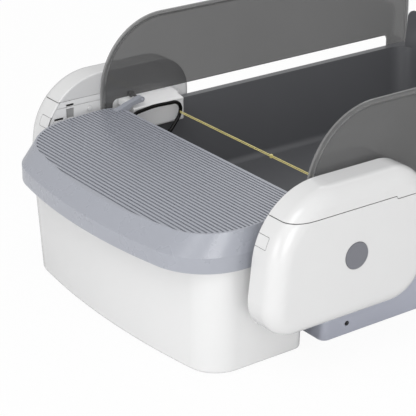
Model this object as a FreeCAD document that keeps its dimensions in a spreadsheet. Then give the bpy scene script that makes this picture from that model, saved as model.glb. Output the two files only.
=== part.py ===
"""Self-cleaning litter box: tray and base, waste bin with ribbed step lid, and a raking carriage.

Frame: X across the box, Y from the bin (-Y) to the back (+Y), Z up, millimetres.
The origin is on the floor, midway between the front of the lid and the back of the base.
"""
import FreeCAD, Part
import math
import os
from FreeCAD import Placement, Rotation, Vector

# Driving dimensions: name, value, what it is
SIZES = [
    ("fit_gap", 0.3, "gap between pieces that face each other"),
    ("wall", 2.5, "moulded wall of the white and blue-grey shells"),
    ("base_front", -146.5, "front face of the base, Y"),
    ("base_back", 361.0, "back face of the base, Y"),
    ("base_foot_in", 5.0, "how far the base's foot is drawn in on each side"),
    ("base_half", 208.0, "half width of the base above its bevel"),
    ("base_bevel_top", 60.0, "height where the bevelled skirt of the base ends"),
    ("base_height", 164.0, "top of the side walls of the base"),
    ("base_front_height", 64.0, "top of the front wall of the base"),
    ("base_corner", 9.0, "vertical corner radius of the base"),
    ("base_wall", 3.0, "wall of the base"),
    ("base_lift", 0.8, "height of the base wall over the floor"),
    ("plate_thick", 2.5, "bottom plate thickness"),
    ("plate_level", 3.2, "underside of the bottom plate"),
    ("beam_width", 10.0, "width of the cross beams under the tray"),
    ("tray_floor", 70.0, "tray floor height, inside"),
    ("tray_wall", 3.0, "tray wall"),
    ("tray_floor_in", 20.0, "tray floor edge inside the base's side, along X"),
    ("tray_rim_in", 4.0, "tray's inner rim edge inside the base's side, along X"),
    ("tray_front", -166.0, "front wall of the tray, inside, Y"),
    ("tray_back", 333.0, "back wall of the tray at its floor line, inside, Y"),
    ("tray_back_lean", 8.0, "how far the back wall leans out at the rim"),
    ("tray_corner", 26.0, "back vertical corner radius of the tray, inside"),
    ("tray_front_corner", 13.0, "front vertical corner radius of the tray, inside"),
    ("tray_edge_round", 10.0, "radius between tray floor and side walls"),
    ("back_cove", 70.0, "radius between tray floor and back wall"),
    ("rim_height", 180.0, "top of the tray rim"),
    ("rim_over", 7.2, "how far the rim stands out over the base's side"),
    ("rim_thick", 3.0, "rim thickness"),
    ("rim_skirt", 12.0, "depth of the rim's turned-down edge"),
    ("back_wall_height", 235.0, "top of the raised back wall"),
    ("back_wall_in", 8.0, "raised back wall's end inside the base's side, along X"),
    ("chute_in", 24.0, "chute's side inside the base's side, along X"),
    ("chute_lip", 135.0, "height of the chute lip"),
    ("chute_gap", 3.0, "gap between comb tips and the curved chute"),
    ("shield_thick", 3.0, "side shield thickness"),
    ("shield_gap", 0.3, "gap between rim and shield"),
    ("shield_front", -190.4, "front edge of the shields, Y"),
    ("shield_back", 359.0, "back edge of the shields, Y"),
    ("shield_top", 306.0, "top edge of the shields"),
    ("shield_foot", 168.0, "lower end of the shield feet"),
    ("shield_round", 99.0, "front upper corner radius of the shields"),
    ("shield_back_round", 40.0, "back upper corner radius of the shields"),
    ("slot_front", -173.0, "front end of the shield slot, Y"),
    ("slot_back", 319.0, "back end of the shield slot, Y"),
    ("slot_top", 196.0, "top of the shield slot"),
    ("slot_round", 8.0, "corner radius of the slot"),
    ("rail_front", -226.0, "front end of the side rails, Y"),
    ("rail_back", 330.0, "back end of the side rails, Y"),
    ("rail_depth", 13.7, "depth of the rail along X"),
    ("rail_height", 11.5, "height of the rail bar below its teeth"),
    ("rack_module", 2.0, "module of rack and drive gear"),
    ("drive_teeth", 16, "teeth of the drive gear"),
    ("gear_play", 0.25, "tooth thinning of each gear at the pitch line"),
    ("drive_width", 9.0, "face width of the drive gear"),
    ("axle_y", -158.0, "drive axle, Y"),
    ("axle_z", 146.0, "drive axle height"),
    ("shaft_radius", 3.0, "drive shaft radius"),
    ("bore_play", 0.06, "radial clearance of shafts in their bores"),
    ("roller_radius", 6.0, "guide roller radius"),
    ("roller_width", 8.0, "guide roller width"),
    ("roller_front_y", -206.0, "front guide roller, Y"),
    ("roller_back_y", -98.0, "back guide roller, Y"),
    ("roller_pin", 2.0, "guide roller pin radius"),
    ("train_module", 1.5, "module of the reduction gears"),
    ("wheel_teeth", 36, "teeth of the large reduction gear"),
    ("pinion_teeth", 12, "teeth of the motor pinion"),
    ("train_width", 5.0, "face width of the reduction gears"),
    ("motor_radius", 14.0, "drive motor radius"),
    ("motor_length", 24.0, "drive motor length"),
    ("pod_gap", 17.0, "pod's inner face outside the base's side, along X"),
    ("pod_width", 47.0, "pod width along X"),
    ("pod_front_low", -284.5, "front of the pods projected to their bottom, Y"),
    ("pod_front_high", -265.0, "front of the pods projected to their top, Y"),
    ("pod_back", -42.5, "back of the pods, Y"),
    ("pod_bottom", 63.6, "bottom of the pods"),
    ("pod_top", 235.0, "top of the pods"),
    ("pod_nose", 90.0, "front upper corner radius of the pods"),
    ("pod_chin", 40.0, "front lower corner radius of the pods"),
    ("pod_heel", 54.0, "back lower corner radius of the pods"),
    ("pod_tail", 50.0, "back upper corner radius of the pods"),
    ("pod_edge_share", 0.447, "rounding of the pod's outer edge as a share of its width"),
    ("pod_inner_edge", 2.2, "rounding of the inner edge of the pods"),
    ("pod_wall", 2.5, "pod wall"),
    ("seam_high", 205.0, "seam of the pod cover"),
    ("seam_low", 201.5, "seam of the pod cover behind the step"),
    ("seam_step", -99.0, "step of the seam, Y"),
    ("seam_gap", 0.8, "open width of the seam"),
    ("cap_radius", 16.6, "round cap radius"),
    ("cap_proud", 0.5, "how far the round cap stands out"),
    ("cap_thick", 2.0, "round cap thickness"),
    ("arm_front", -158.0, "front of the carriage arm, Y"),
    ("arm_back", -76.0, "back of the carriage arm's inner housing, Y"),
    ("neck_back", -75.0, "back of the neck that passes the slot, Y"),
    ("arm_in", 22.0, "arm's inner face inside the base's side, along X"),
    ("arm_thick_low", 11.0, "thickness of the inner housing at its foot"),
    ("arm_thick_high", 14.5, "thickness of the inner housing under the neck"),
    ("arm_bottom", 157.0, "foot of the inner housing"),
    ("neck_bottom", 184.0, "underside of the neck over the rim"),
    ("neck_top", 193.0, "top of the neck"),
    ("arm_inner_top", 188.5, "upper inner edge of the housing"),
    ("arm_wall", 1.5, "wall of the inner housing"),
    ("rake_y", -136.0, "rake pivot, Y"),
    ("rake_z", 150.0, "rake pivot height"),
    ("rake_boss", 11.0, "radius of the rake bearing boss"),
    ("rake_end_gap", 4.0, "gap between the rake bar's end and the arm"),
    ("rake_bar_radius", 6.0, "rake bar radius"),
    ("tine_count", 27, "tines of the comb"),
    ("tine_margin", 13.2, "distance from the comb's end to its first tine"),
    ("tine_thick", 3.2, "tine thickness across the comb"),
    ("comb_depth", 12.0, "comb spine depth along Y"),
    ("comb_top_gap", 0.3, "gap between rake bar and comb spine"),
    ("comb_offset", 9.0, "how far the comb sits in front of the bar's axis"),
    ("comb_height", 10.0, "comb spine height"),
    ("hoop_radius", 2.5, "radius of the black hoop rod"),
    ("wire_radius", 0.6, "radius of each brass-coloured wire"),
    ("wire_spread", 2.0, "distance between the two wires"),
    ("wire_y", -88.5, "wires, Y"),
    ("wire_z", 171.9, "wires, middle height"),
    ("clip_x", 23.5, "middle of the dark wire clip, X"),
    ("clip_width", 3.6, "width of the dark wire clip"),
    ("bin_front", -328.0, "front of the waste bin at its foot, Y"),
    ("bin_back", -174.0, "back of the waste bin, Y"),
    ("bin_in", 8.0, "bin's foot inside the base's side, along X"),
    ("bin_lift", 1.2, "underside of the bin over the floor"),
    ("bin_top", 136.0, "rim of the bin"),
    ("bin_back_top", 62.0, "top of the low back wall of the bin"),
    ("bin_flare", 6.3, "how far the bin flares from foot to rim"),
    ("bin_bow", 1100.0, "bow radius of the bin front"),
    ("bin_corner", 42.0, "front corner radius of the bin"),
    ("bin_back_corner", 12.0, "back corner radius of the bin"),
    ("bin_edge", 4.0, "rounding of the bin's lower edge"),
    ("lid_front", -363.0, "front of the lid, Y"),
    ("lid_back", -171.0, "back edge of the lid, Y"),
    ("lid_over", 4.0, "lid skirt outside the base's side, along X"),
    ("lid_bottom", 138.0, "lower edge of the lid skirt"),
    ("lid_band", 157.5, "top of the upright band of the skirt"),
    ("lid_top", 190.0, "top of the lid at its back edge"),
    ("lid_arch", 1120.0, "arch radius of the lid top"),
    ("lid_bow", 800.0, "bow radius of the lid front"),
    ("lid_corner", 79.0, "front corner radius of the lid skirt"),
    ("lid_back_corner", 26.0, "back corner radius of the lid"),
    ("bevel_in_front", 21.0, "inward run of the bevel at the front"),
    ("bevel_in_side", 3.5, "inward run of the bevel at the sides"),
    ("bevel_rise", 21.0, "rise over which the bevel is measured"),
    ("bevel_corner", 14.0, "how much smaller the corner radius is at the bevel's measured rise"),
    ("lid_wall", 3.0, "lid wall"),
    ("rib_pitch", 5.0, "pitch of the tread grooves"),
    ("groove_width", 2.3, "width of a tread groove"),
    ("groove_depth", 1.5, "depth of a tread groove"),
    ("tread_inset", 3.0, "distance of the tread from the lid edge"),
    ("tread_corner", 73.0, "front corner radius of the tread"),
    ("hinge_y", -144.0, "lid hinge, Y"),
    ("hinge_z", 199.0, "lid hinge height"),
    ("hinge_eye", 3.6, "radius of the lid's hinge eyes"),
    ("hinge_pin", 1.9, "radius of the hinge pins"),
    ("hinge_arm_gap", 0.5, "lid arm's inner side outside the carriage arm's inner face"),
    ("hinge_arm_width", 9.5, "width of the lid arms"),
    ("hinge_flange", 4.2, "radius of the hinge pin's flange"),
    ("button_width", 20.5, "button width"),
    ("button_height", 13.5, "button height"),
    ("button_in", 0.0, "button's inner side from the pod's inner face"),
    ("button_z", 172.8, "lower side of the button"),
    ("button_travel", 1.5, "button travel"),
    ("button_gap", 0.4, "gap around the button"),
    ("screw_radius", 1.5, "screw shank radius"),
    ("screw_head", 2.9, "screw head radius"),
    ("screw_length", 8.0, "screw length under its head"),
]

doc = FreeCAD.newDocument("litter_box")
sheet = doc.addObject("Spreadsheet::Sheet", "Sizes")
for row, (alias, value, meaning) in enumerate(SIZES, start=1):
    sheet.set("A%d" % row, str(value))
    sheet.setAlias("A%d" % row, alias)
    sheet.set("B%d" % row, meaning)
doc.recompute()


class Values:
    """The sheet's numbers by their names."""

    def __getattr__(self, alias):
        return float(sheet.get(alias))


v = Values()
pieces = {}
X_AXIS = Vector(1, 0, 0)
Y_AXIS = Vector(0, 1, 0)
Z_AXIS = Vector(0, 0, 1)

# Places across the box that follow the base's half width
base_foot_half = v.base_half - v.base_foot_in
tray_floor_half = v.base_half - v.tray_floor_in
tray_rim_half = v.base_half - v.tray_rim_in
rim_half = v.base_half + v.rim_over
back_wall_half = v.base_half - v.back_wall_in
chute_half = v.base_half - v.chute_in
pod_inner = v.base_half + v.pod_gap
pod_outer = pod_inner + v.pod_width
arm_inner = v.base_half - v.arm_in
arm_outer_low = arm_inner + v.arm_thick_low
arm_outer_high = arm_inner + v.arm_thick_high
rake_half = arm_inner - v.rake_end_gap
bin_half = v.base_half - v.bin_in
lid_half = v.base_half + v.lid_over
hinge_arm_in = arm_inner + v.hinge_arm_gap
button_x = pod_inner + v.button_in
pod_edge = v.pod_width * v.pod_edge_share


# Helpers for parametric objects

def bound(text):
    """Turn names of sizes in an expression into references to the sheet."""
    names = sorted((alias for alias, value, meaning in SIZES), key=len, reverse=True)
    words = []
    word = ""
    for letter in text + " ":
        if letter.isalnum() or letter == "_":
            word += letter
            continue
        words.append("Sizes." + word if word in names else word)
        words.append(letter)
        word = ""
    return "".join(words).strip()


def bind(item, **expressions):
    """Bind properties of an object to expressions; double underscores stand for dots."""
    for name, text in expressions.items():
        item.setExpression(name.replace("__", "."), bound(text))


def place(item, x="0", y="0", z="0"):
    bind(item, Placement__Base__x=x, Placement__Base__y=y, Placement__Base__z=z)


def box(name, x, y, z, length, width, height):
    """A block from its lowest corner and its three sizes, all bound."""
    item = doc.addObject("Part::Box", name)
    bind(item, Length=length, Width=width, Height=height)
    place(item, x, y, z)
    return item


TURN_TO_X = Rotation(Vector(0, 1, 0), 90)
TURN_TO_Y = Rotation(Vector(1, 0, 0), -90)


def cylinder(name, x, y, z, radius, height, axis="Z"):
    """A cylinder that starts at a point and runs along +X, +Y or +Z, all bound."""
    item = doc.addObject("Part::Cylinder", name)
    bind(item, Radius=radius, Height=height)
    if axis == "X":
        item.Placement = Placement(Vector(), TURN_TO_X)
    if axis == "Y":
        item.Placement = Placement(Vector(), TURN_TO_Y)
    place(item, x, y, z)
    return item


def formed(name, shape):
    """A piece whose shape is worked out from the sheet's values."""
    item = doc.addObject("Part::Feature", name)
    item.Shape = shape
    return item


def mirrored(name, source):
    """The same piece on the other side of the box."""
    item = doc.addObject("Part::Mirroring", name)
    item.Source = source
    item.Normal = Vector(1, 0, 0)
    item.Base = Vector(0, 0, 0)
    return item


def keep(item, label):
    """Name a finished piece."""
    item.Label = label
    pieces[label] = item
    return item


def plate(name, plane, wire_points_or_edges, length, offset):
    """A sketch on an origin plane, padded along the plane's normal, in a body of its own."""
    body = doc.addObject("PartDesign::Body", name)
    sketch = body.newObject("Sketcher::SketchObject", name + "_sketch")
    origin = [o for o in body.Origin.OriginFeatures if o.Role == plane][0]
    sketch.AttachmentSupport = [(origin, "")]
    sketch.MapMode = "FlatFace"
    for edge in wire_points_or_edges:
        sketch.addGeometry(edge, False)
    pad = body.newObject("PartDesign::Pad", name + "_pad")
    pad.Profile = sketch
    bind(pad, Length=length)
    axis = {"XY_Plane": "z", "XZ_Plane": "y", "YZ_Plane": "x"}[plane]
    bind(body, **{"Placement__Base__" + axis: offset})
    return body


# Outlines

def flat(u, w):
    return Vector(u, w, 0)


def rounded_path(points, radii):
    """Corner points with a radius each, as lines and arcs in the sketch plane."""
    count = len(points)
    cuts = []
    for i in range(count):
        here = points[i]
        before = points[i - 1].sub(here).normalize()
        after = points[(i + 1) % count].sub(here).normalize()
        radius = radii[i]
        if radius == 0:
            cuts.append((here, None, here))
            continue
        half = before.getAngle(after) / 2
        reach = radius / math.tan(half)
        middle = Vector(before).add(after).normalize()
        centre = here.add(middle * (radius / math.sin(half)))
        cuts.append((here.add(before * reach), centre.sub(middle * radius), here.add(after * reach)))
    edges = []
    for i in range(count):
        start, top, end = cuts[i]
        if top is not None:
            edges.append(Part.Arc(start, top, end))
        following = cuts[(i + 1) % count][0]
        if end.distanceToPoint(following) > 1e-6:
            edges.append(Part.LineSegment(end, following))
    return edges


def rectangle(u0, u1, w0, w1, radius=0):
    corners = [flat(u0, w0), flat(u1, w0), flat(u1, w1), flat(u0, w1)]
    return rounded_path(corners, [radius] * 4)


def bowed_path(half, front, back, bow, corner, back_corner):
    """Plan outline with a bowed front, round front corners and a straight back."""
    bow_centre = front + bow
    corner_x = half - corner
    corner_y = bow_centre - math.sqrt((bow - corner) ** 2 - corner_x ** 2)
    scale = bow / (bow - corner)
    touch = flat(corner_x * scale, bow_centre + (corner_y - bow_centre) * scale)
    aim = math.atan2(touch.y - corner_y, touch.x - corner_x) / 2
    corner_mid = flat(corner_x + corner * math.cos(aim), corner_y + corner * math.sin(aim))
    turn = math.sqrt(0.5)
    back_mid = flat(half - back_corner * (1 - turn), back - back_corner * (1 - turn))

    def other(point):
        return flat(-point.x, point.y)

    side_front = flat(half, corner_y)
    side_back = flat(half, back - back_corner)
    back_side = flat(half - back_corner, back)
    return [
        Part.Arc(other(touch), flat(0, front), touch),
        Part.Arc(touch, corner_mid, side_front),
        Part.LineSegment(side_front, side_back),
        Part.Arc(side_back, back_mid, back_side),
        Part.LineSegment(back_side, other(back_side)),
        Part.Arc(other(back_side), other(back_mid), other(side_back)),
        Part.LineSegment(other(side_back), other(side_front)),
        Part.Arc(other(side_front), other(corner_mid), other(touch)),
    ]


def wire_at(edges, height):
    """A closed wire lifted to a height."""
    wire = Part.Wire([edge.toShape() for edge in edges])
    wire.translate(Vector(0, 0, height))
    return wire


def across(edges, x0, x1):
    """Edges drawn as (Y, Z) in the sketch plane, extruded from x0 to x1."""
    wire = Part.Wire([edge.toShape() for edge in edges])
    wire.Placement = Placement(Vector(x0, 0, 0), Rotation(Y_AXIS, Z_AXIS, X_AXIS))
    return Part.Face(wire).extrude(Vector(x1 - x0, 0, 0))


def along(edges, y0, y1):
    """Edges drawn as (X, Z) in the sketch plane, extruded from y0 to y1."""
    wire = Part.Wire([edge.toShape() for edge in edges])
    wire.Placement = Placement(Vector(0, y0, 0), Rotation(X_AXIS, Z_AXIS, Y_AXIS * -1))
    return Part.Face(wire).extrude(Vector(0, y1 - y0, 0))


def block(x0, x1, y0, y1, z0, z1):
    return Part.makeBox(x1 - x0, y1 - y0, z1 - z0, Vector(x0, y0, z0))


def rod(start, axis, radius, length):
    return Part.makeCylinder(radius, length, start, axis)


def open_path(points, radii):
    """An open run of lines and tangent arcs through corner points."""
    closed = rounded_path(points, [0] + radii + [0])
    return closed[:-1]


def gear_outline(teeth, module, play, phase):
    """Points of an involute gear about its centre, one tooth centred on the phase angle."""
    pitch = teeth * module / 2
    base = pitch * math.cos(math.radians(20))
    tip = pitch + 0.9 * module
    root = pitch - 1.25 * module
    half_tooth = (math.pi * module / 2 - play) / (2 * pitch)
    roll_at_pitch = math.tan(math.radians(20)) - math.radians(20)
    flank = []
    steps = 4
    for i in range(steps + 1):
        radius = max(base, root) + (tip - max(base, root)) * i / steps
        turn = math.acos(min(1, base / radius))
        flank.append((radius, half_tooth + roll_at_pitch - (math.tan(turn) - turn)))
    points = []
    for tooth in range(teeth):
        middle = phase + 2 * math.pi * tooth / teeth
        side = [(root, flank[0][1] * 1.02)] + flank
        for radius, angle in side:
            points.append((radius, middle - angle))
        for radius, angle in reversed(side):
            points.append((radius, middle + angle))
    return [flat(radius * math.cos(angle), radius * math.sin(angle)) for radius, angle in points]


def gear(teeth, module, y, z, x, width, bore, phase):
    """A spur gear that turns about X."""
    outline = [p.add(flat(y, z)) for p in gear_outline(teeth, module, v.gear_play, phase)]
    edges = [Part.LineSegment(outline[i - 1], outline[i]) for i in range(len(outline))]
    return across(edges, x, x + width).cut(rod(Vector(x - 1, y, z), X_AXIS, bore, width + 2))


def screw(point, direction):
    """A pan-head screw: the head sits outside the point, the shank runs along the direction."""
    head_height = v.screw_head * 0.6
    head = rod(point.sub(direction * head_height), direction, v.screw_head, head_height)
    shank = rod(point, direction, v.screw_radius, v.screw_length)
    return head.fuse(shank)


def screw_hole(point, direction):
    """The bore that a screw's shank passes, open at both ends."""
    radius = v.screw_radius + v.bore_play
    return rod(point.sub(direction * v.screw_length), direction, radius, 2.5 * v.screw_length)


def both_sides(points):
    return points + [Vector(-p.x, p.y, p.z) for p in points]


def edges_on(shape, axis, place, reach=0.01):
    """Edges whose every end lies on one plane, to be rounded."""
    found = []
    for edge in shape.Edges:
        if all(abs(getattr(vertex.Point, axis) - place) < reach for vertex in edge.Vertexes):
            found.append(edge)
    return found


# Base

def base_form(inset):
    """The outer form of the base, drawn in by an inset."""
    def ring(half, height):
        corner = v.base_corner - inset
        return wire_at(rectangle(-half + inset, half - inset, v.base_front + inset,
                                 v.base_back - inset, corner), height)
    skirt = Part.makeLoft([ring(base_foot_half, 0), ring(v.base_half, v.base_bevel_top)], True)
    tower = Part.Face(ring(v.base_half, v.base_bevel_top))
    return skirt.fuse(tower.extrude(Vector(0, 0, v.base_height - v.base_bevel_top)))


tray_seat = v.tray_floor - v.tray_wall - v.fit_gap
plate_top = v.plate_level + v.plate_thick
beam_places = [v.base_front + 90, v.base_back - 120]
rack_line = v.axle_z - v.drive_teeth * v.rack_module / 2
rack_root = rack_line - 1.25 * v.rack_module
rail_bottom = rack_root - v.rail_height
rail_screw_z = (rail_bottom + rack_root) / 2
rail_screw_y = [v.base_front + 25 + (v.rail_back - v.base_front - 45) * i / 3 for i in range(4)]
rail_screw_points = [Vector(v.base_half - v.base_wall, y, rail_screw_z) for y in rail_screw_y]
side_screw_y = [v.base_front + 36.5, v.base_back - 75]
side_screw_z = 16.0
side_slope = (v.base_half - base_foot_half) / v.base_bevel_top
side_screw_x = base_foot_half + side_slope * side_screw_z
plate_tab_depth = 9.0
plate_tab_outer = base_foot_half - v.base_wall - v.fit_gap
beam_screw_x = v.base_half - 58
beam_screw_points = [Vector(x, y, v.plate_level) for y in beam_places
                     for x in (-beam_screw_x, beam_screw_x)]


def base_frame():
    frame = base_form(0).cut(base_form(v.base_wall))
    far = 2 * v.base_half
    inner_half = v.base_half - v.base_wall
    inner_front = v.base_front + v.base_corner + 1
    frame = frame.cut(block(-inner_half, inner_half, v.base_front - 1, inner_front,
                            v.base_front_height, far))
    frame = frame.cut(block(-far, far, v.base_front - 1, v.base_back + 1, -1, v.base_lift))
    reach = base_foot_half - v.base_wall / 2
    for y in beam_places:
        low = plate_top + v.fit_gap
        half = v.beam_width / 2
        frame = frame.fuse(block(-reach, reach, y - half, y + half, low, tray_seat))
    holes = [screw_hole(p, X_AXIS) for p in both_sides(rail_screw_points)]
    holes += [screw_hole(p, Z_AXIS) for p in beam_screw_points]
    for y in side_screw_y:
        for side in (-1, 1):
            point = Vector(side * side_screw_x, y, side_screw_z)
            holes.append(screw_hole(point, X_AXIS))
            holes.append(rod(point.sub(X_AXIS * (side * 1.2)), X_AXIS * side, v.screw_head + 0.4, 4))
    return frame.cut(Part.makeCompound(holes))


keep(formed("BaseFrame", base_frame()), "base_frame")


def base_plate():
    half = plate_tab_outer
    gap = v.base_wall + v.fit_gap
    outline = rectangle(-half, half, v.base_front + gap, v.base_back - gap, v.base_corner - gap)
    slab = Part.Face(wire_at(outline, v.plate_level)).extrude(Vector(0, 0, v.plate_thick))
    for y in side_screw_y:
        for side in (-1, 1):
            x0, x1 = sorted((side * half, side * (half - plate_tab_depth)))
            slab = slab.fuse(block(x0, x1, y - 8, y + 8, v.plate_level, side_screw_z + 6))
    holes = [screw_hole(p, Z_AXIS) for p in beam_screw_points]
    for y in side_screw_y:
        holes.append(rod(Vector(-v.base_half, y, side_screw_z), X_AXIS,
                         v.screw_radius + v.bore_play, 2 * v.base_half))
    for p in foot_points:
        holes.append(rod(Vector(p.x, p.y, 0), Z_AXIS, 4 + v.bore_play, 20))
    return slab.cut(Part.makeCompound(holes))


foot_x = v.base_half - 38
foot_points = [Vector(x, y, 0) for x in (-foot_x, foot_x)
               for y in (v.base_front + 40, v.base_back - 40)]
keep(formed("BasePlate", base_plate()), "base_plate")


def foot_pad(point):
    """A rubber pad with a stud pressed through the plate."""
    pad = rod(point, Z_AXIS, 11, v.plate_level - 0.05)
    return pad.fuse(rod(point, Z_AXIS, 4, plate_top + 1.5))


keep(formed("FootPads", Part.makeCompound([foot_pad(p) for p in foot_points])), "foot_pads")


# Litter tray

chute_radius = v.rake_z - v.tray_floor
rake_reach = chute_radius - v.chute_gap
wall_lean = v.tray_back_lean / (v.rim_height - v.tray_floor)
side_lean = (tray_rim_half - tray_floor_half) / (v.rim_height - v.tray_floor)


def tray_section(grow):
    """Side view of the tray's inside: curved chute, floor, cove and leaning back wall."""
    radius = chute_radius + grow
    floor = v.rake_z - radius
    run = math.sqrt(radius ** 2 - (v.rake_z - v.chute_lip) ** 2)
    lip = flat(v.rake_y - run, v.chute_lip)
    bottom = flat(v.rake_y, floor)
    back = v.tray_back + grow
    top = v.back_wall_height
    high = flat(back + wall_lean * (top - v.tray_floor), top)
    path = rounded_path([bottom, flat(back - wall_lean * grow, floor), high, flat(lip.x, top), lip],
                        [0, v.back_cove + grow, 0, 0, 0])
    dip = (math.atan2(v.rake_z - v.chute_lip, run) + math.pi / 2) / 2
    middle = flat(v.rake_y - radius * math.cos(dip), v.rake_z - radius * math.sin(dip))
    return path[:-1] + [Part.Arc(lip, middle, bottom)]


def tray_form(grow):
    """The tray's tapering box with its rounded lower edges, cut to the side view."""
    low = v.tray_floor - grow
    high = v.rim_height + (1 if grow == 0 else 0)

    def ring(height):
        rise = height - v.tray_floor
        half = tray_floor_half + grow + side_lean * rise
        front = v.tray_front - grow
        back = v.tray_back + grow + wall_lean * rise
        corners = [flat(-half, front), flat(half, front), flat(half, back), flat(-half, back)]
        small = v.tray_front_corner + grow
        large = v.tray_corner + grow
        return wire_at(rounded_path(corners, [small, small, large, large]), height)
    form = Part.makeLoft([ring(low), ring(high)], True)
    edges = [e for e in edges_on(form, "z", low) if abs(e.tangentAt(e.FirstParameter).x) < 0.01
             and e.Length > 200]
    form = form.makeFillet(v.tray_edge_round + grow, edges)
    return form.common(across(tray_section(grow), -rim_half, rim_half))


def litter_tray():
    inner = tray_form(0)
    tray = tray_form(v.tray_wall)
    far = 2 * rim_half
    front = v.tray_front - v.tray_wall
    rim_low = v.rim_height - v.rim_thick
    half = rim_half
    rim_round = v.base_corner + 8

    def slab(inset, z0, z1):
        outline = rectangle(-half + inset, half - inset, front - 2.5 + inset, v.base_back - inset,
                            rim_round - inset)
        return Part.Face(wire_at(outline, z0)).extrude(Vector(0, 0, z1 - z0))
    skirt = slab(0, v.rim_height - v.rim_skirt, v.rim_height).cut(slab(v.rim_thick, 0, far))
    rim = slab(0, rim_low, v.rim_height).fuse(skirt)
    back = across(tray_section(v.tray_wall), -back_wall_half, back_wall_half)
    back = back.common(block(-far, far, v.tray_back - 5, far * 2, rim_low, far * 2))
    back = back.cut(across(tray_section(0), -far, far))
    outline = rectangle(-back_wall_half, back_wall_half, 0, v.back_wall_height, 12)
    back = back.common(along(outline, v.tray_back - 10, v.tray_back + 50))
    tray = tray.fuse([rim, back]).cut(inner)
    opening = across(tray_section(0), -chute_half, chute_half)
    gate = block(-chute_half, chute_half, v.rake_y - far, v.tray_front + v.tray_corner, 0, far)
    tray = tray.cut(opening.common(gate))
    chute_outer = chute_half + v.tray_wall
    chute = across(tray_section(v.tray_wall), -chute_outer, chute_outer)
    reach = front + v.tray_edge_round + 2 * v.tray_wall
    chute = chute.common(block(-far, far, v.rake_y - far, reach, 0, v.chute_lip))
    return tray.fuse(chute.cut(opening).cut(inner)).removeSplitter()


def tray_finished():
    holes = [screw_hole(p, X_AXIS) for p in both_sides(shield_screw_points)]
    return litter_tray().cut(Part.makeCompound(holes))


# Side shields

shield_inner = rim_half + v.shield_gap
shield_outer = shield_inner + v.shield_thick
foot_screw_z = v.rim_height - v.rim_skirt / 2
foot_screw_y = [(v.shield_front + v.slot_front) / 2, v.slot_back + 9, v.shield_back - 10]
shield_screw_points = [Vector(shield_outer, y, foot_screw_z) for y in foot_screw_y]
keep(formed("LitterTray", tray_finished()), "litter_tray")


def shield_outline():
    corners = [
        flat(v.shield_front, v.shield_foot),
        flat(v.slot_front, v.shield_foot),
        flat(v.slot_front, v.slot_top),
        flat(v.slot_back, v.slot_top),
        flat(v.slot_back, v.shield_foot),
        flat(v.shield_back, v.shield_foot),
        flat(v.shield_back, v.shield_top),
        flat(v.shield_front, v.shield_top),
    ]
    small = v.slot_round / 3
    path = rounded_path(corners, [small, small, v.slot_round, v.slot_round, small, small,
                                  v.shield_back_round, v.shield_round])
    radius = v.screw_radius + v.bore_play
    for y in foot_screw_y:
        path.append(Part.Circle(flat(y, foot_screw_z), Z_AXIS, radius))
    path.append(Part.Circle(flat(v.hinge_y, v.hinge_z), Z_AXIS, radius))
    return path


shield = plate("ShieldRight", "YZ_Plane", shield_outline(), "shield_thick",
               "base_half + rim_over + shield_gap")
keep(shield, "side_shield_right")
keep(mirrored("ShieldLeft", shield), "side_shield_left")


# Lid hinge pins on the shields

def lid_pin():
    start = Vector(hinge_arm_in - 1, v.hinge_y, v.hinge_z)
    end = shield_inner - v.fit_gap
    flange_thick = 2.2
    pin = rod(start, X_AXIS, v.hinge_pin, end - start.x)
    flange = rod(Vector(end - flange_thick, v.hinge_y, v.hinge_z), X_AXIS, v.hinge_flange, flange_thick)
    return pin.fuse(flange).cut(screw_hole(Vector(shield_outer, v.hinge_y, v.hinge_z), X_AXIS * -1))


pin = lid_pin()
other_pin = pin.mirror(Vector(), X_AXIS)
keep(formed("LidPins", Part.makeCompound([pin, other_pin])), "lid_pins")
hinge_screw_point = Vector(shield_outer, v.hinge_y, v.hinge_z)


def inward(point):
    """Direction from a side of the box to its middle."""
    return Vector(-1 if point.x > 0 else 1, 0, 0)


shield_screws = [screw(p, inward(p)) for p in both_sides(shield_screw_points + [hinge_screw_point])]
keep(formed("ShieldScrews", Part.makeCompound(shield_screws)), "shield_screws")
outside_screws = [Vector(side_screw_x - 1.2, y, side_screw_z) for y in side_screw_y]
base_screws = [screw(p, inward(p)) for p in both_sides(outside_screws)]
base_screws += [screw(p, inward(p) * -1) for p in both_sides(rail_screw_points)]
base_screws += [screw(p, Z_AXIS) for p in beam_screw_points]
keep(formed("BaseScrews", Part.makeCompound(base_screws)), "base_screws")


# Side rails with their racks

def rail_outline():
    """The bar with a straight-sided rack on top, a gap centred on the drive axle."""
    pitch = math.pi * v.rack_module
    tip = rack_line + 0.9 * v.rack_module
    lean = math.tan(math.radians(20))
    half = (pitch / 2 - v.gear_play) / 2
    points = [flat(v.rail_back, rail_bottom), flat(v.rail_back, rack_root)]
    first = math.ceil((v.rail_front + pitch - v.axle_y) / pitch)
    last = math.floor((v.rail_back - pitch - v.axle_y) / pitch)
    for number in range(last, first, -1):
        middle = v.axle_y + (number - 0.5) * pitch
        foot = half + (rack_line - rack_root) * lean
        crest = half - (tip - rack_line) * lean
        points.append(flat(middle + foot, rack_root))
        points.append(flat(middle + crest, tip))
        points.append(flat(middle - crest, tip))
        points.append(flat(middle - foot, rack_root))
    points += [flat(v.rail_front, rack_root), flat(v.rail_front, rail_bottom)]
    path = [Part.LineSegment(points[i - 1], points[i]) for i in range(len(points))]
    for y in rail_screw_y:
        path.append(Part.Circle(flat(y, rail_screw_z), Z_AXIS, v.screw_radius + v.bore_play))
    return path


rail = plate("RailRight", "YZ_Plane", rail_outline(), "rail_depth", "base_half + fit_gap")
keep(rail, "side_rail_right")
keep(mirrored("RailLeft", rail), "side_rail_left")


# Waste bin

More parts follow.
